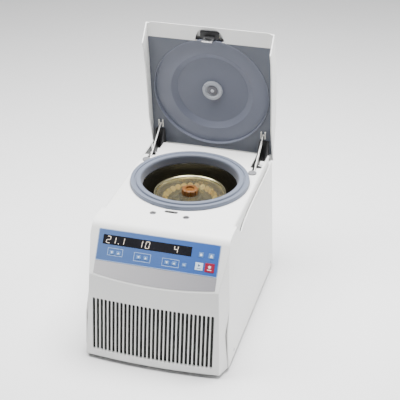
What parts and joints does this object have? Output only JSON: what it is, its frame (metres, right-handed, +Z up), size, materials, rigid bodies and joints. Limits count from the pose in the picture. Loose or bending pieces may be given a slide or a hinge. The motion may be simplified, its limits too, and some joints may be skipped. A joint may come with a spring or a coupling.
{
  "type": "refrigerated laboratory centrifuge",
  "caption": "Bench-top refrigerated microcentrifuge with a hinged lid, round rotor chamber, slotted front grille and sloping key panel with a dark display.",
  "frame": {"origin": "on the bench, under the middle of the machine's box with the lid open", "axes": "+Z up, front towards -Y, +X to the machine's right seen from the front"},
  "size_m": [0.2916, 0.4719, 0.5449],
  "materials": {
    "housing": "satin off-white powder coat",
    "zinc_steel": "zinc plated sheet",
    "black_rubber": "matt",
    "grey_rubber": "matt blue-grey silicone",
    "bright_steel": "satin",
    "blue_foil": "satin printed polyester",
    "grey_foil": "satin printed polyester",
    "dark_window": "polished smoked acrylic",
    "black_plastic": "fine texture",
    "green_board": "solder resist",
    "chamber_steel": "satin stainless steel",
    "copper": "drawn copper",
    "foam": "closed-cell foam",
    "cast_alloy": "cast",
    "anodised": "turned and anodised",
    "tube_plastic": "moulded polypropylene",
    "clear_lid": "clear polycarbonate",
    "amber_plastic": "moulded",
    "black_paint": "gloss enamel",
    "cream_plastic": "moulded",
    "liner_plastic": "fine texture",
    "port_plastic": "moulded",
    "key_plastic": "embossed polyester",
    "white_key": "embossed polyester",
    "red_key": "embossed polyester"
  },
  "bodies": {
    "housing": {"main_cover": "housing", "side_panel_left": "housing", "side_panel_right": "housing", "rear_panel": "housing", "base_tray": "zinc_steel", "rubber_feet": "black_rubber", "panel_screws": "bright_steel", "control_foil": "blue_foil", "fascia_foil": "grey_foil", "display_window": "dark_window", "control_board": "green_board", "chamber_seal": "grey_rubber", "chamber_bowl": "chamber_steel", "evaporator_coil": "copper", "insulation_jacket": "foam", "armour_ring": "bright_steel", "motor_housing": "cast_alloy", "motor_bearings": "bright_steel", "motor_plate": "zinc_steel", "rubber_mounts": "black_rubber", "condenser_core": "cast_alloy", "condenser_pipes": "copper", "fan_shroud": "black_plastic", "fan_motor": "black_plastic", "compressor": "black_paint", "inverter_box": "zinc_steel", "mains_inlet": "black_plastic", "switch_frame": "black_plastic", "latch_body": "black_plastic", "lid_buffers": "cream_plastic", "hinge_pins": "bright_steel", "hinge_brackets": "zinc_steel", "stay_guides": "black_plastic"},
    "lid": {"lid_shell": "housing", "lid_liner": "liner_plastic", "sealing_disc": "liner_plastic", "viewing_port": "port_plastic", "latch_hook": "black_plastic", "hinge_arms": "black_plastic", "stay_clips": "cream_plastic"},
    "stays": {"stay_rods": "bright_steel"},
    "rotor": {"motor_shaft": "bright_steel", "rotor_body": "anodised", "sample_tubes": "tube_plastic"},
    "rotor_cover": {"rotor_lid": "clear_lid", "rotor_knob": "amber_plastic"},
    "fan": {"fan_blades": "black_plastic"},
    "rocker": {"switch_rocker": "black_plastic"},
    "pawl": {"latch_pawl": "bright_steel"},
    "key_speed_down_cap": {"key_speed_down": "key_plastic"},
    "key_speed_up_cap": {"key_speed_up": "key_plastic"},
    "key_time_down_cap": {"key_time_down": "key_plastic"},
    "key_time_up_cap": {"key_time_up": "key_plastic"},
    "key_temperature_down_cap": {"key_temperature_down": "key_plastic"},
    "key_temperature_up_cap": {"key_temperature_up": "key_plastic"},
    "key_program_cap": {"key_program": "key_plastic"},
    "key_pulse_cap": {"key_pulse": "key_plastic"},
    "key_lid_cap": {"key_lid": "key_plastic"},
    "key_start_cap": {"key_start": "white_key"},
    "key_stop_cap": {"key_stop": "red_key"}
  },
  "joints": [
    {"name": "lid_hinge", "type": "hinge", "parent": "housing", "child": "lid", "pos_m": [0, 0.185, 0.2446], "axis": [1, 0, 0], "range_deg": [0, 83.3]},
    {"name": "stay_swing", "type": "hinge", "parent": "lid", "child": "stays", "pos_m": [0, 0.2043, 0.3085], "axis": [1, 0, 0], "range_deg": [-54.4, 0]},
    {"name": "rotor_spin", "type": "hinge", "parent": "housing", "child": "rotor", "pos_m": [0, 0.038, 0.2], "axis": [0, 0, 1], "continuous": true},
    {"name": "rotor_cover_lift", "type": "slide", "parent": "rotor", "child": "rotor_cover", "axis": [0, 0, 1], "range_m": [0, 0.008]},
    {"name": "fan_spin", "type": "hinge", "parent": "housing", "child": "fan", "pos_m": [0, -0.158, 0.078], "axis": [0, 1, 0], "continuous": true},
    {"name": "power_switch", "type": "hinge", "parent": "housing", "child": "rocker", "pos_m": [-0.07, 0.189, 0.08], "axis": [1, 0, 0], "range_deg": [0, 14]},
    {"name": "latch_slide", "type": "slide", "parent": "housing", "child": "pawl", "axis": [0, 1, 0], "range_m": [0, 0.005], "stiffness_N_per_m": 200},
    {"name": "press_speed_down", "type": "slide", "parent": "housing", "child": "key_speed_down_cap", "axis": [0, 0.8508, -0.5255], "range_m": [0, 0.0006], "stiffness_N_per_m": 800},
    {"name": "press_speed_up", "type": "slide", "parent": "housing", "child": "key_speed_up_cap", "axis": [0, 0.8508, -0.5255], "range_m": [0, 0.0006], "stiffness_N_per_m": 800},
    {"name": "press_time_down", "type": "slide", "parent": "housing", "child": "key_time_down_cap", "axis": [0, 0.8508, -0.5255], "range_m": [0, 0.0006], "stiffness_N_per_m": 800},
    {"name": "press_time_up", "type": "slide", "parent": "housing", "child": "key_time_up_cap", "axis": [0, 0.8508, -0.5255], "range_m": [0, 0.0006], "stiffness_N_per_m": 800},
    {"name": "press_temperature_down", "type": "slide", "parent": "housing", "child": "key_temperature_down_cap", "axis": [0, 0.8508, -0.5255], "range_m": [0, 0.0006], "stiffness_N_per_m": 800},
    {"name": "press_temperature_up", "type": "slide", "parent": "housing", "child": "key_temperature_up_cap", "axis": [0, 0.8508, -0.5255], "range_m": [0, 0.0006], "stiffness_N_per_m": 800},
    {"name": "press_program", "type": "slide", "parent": "housing", "child": "key_program_cap", "axis": [0, 0.8508, -0.5255], "range_m": [0, 0.0006], "stiffness_N_per_m": 800},
    {"name": "press_pulse", "type": "slide", "parent": "housing", "child": "key_pulse_cap", "axis": [0, 0.8508, -0.5255], "range_m": [0, 0.0006], "stiffness_N_per_m": 800},
    {"name": "press_lid", "type": "slide", "parent": "housing", "child": "key_lid_cap", "axis": [0, 0.8508, -0.5255], "range_m": [0, 0.0006], "stiffness_N_per_m": 800},
    {"name": "press_start", "type": "slide", "parent": "housing", "child": "key_start_cap", "axis": [0, 0.8508, -0.5255], "range_m": [0, 0.0006], "stiffness_N_per_m": 800},
    {"name": "press_stop", "type": "slide", "parent": "housing", "child": "key_stop_cap", "axis": [0, 0.8508, -0.5255], "range_m": [0, 0.0006], "stiffness_N_per_m": 800}
  ],
  "couplings": [
    {"joint": "stay_swing", "follows": "lid_hinge", "ratio": -0.652}
  ]
}
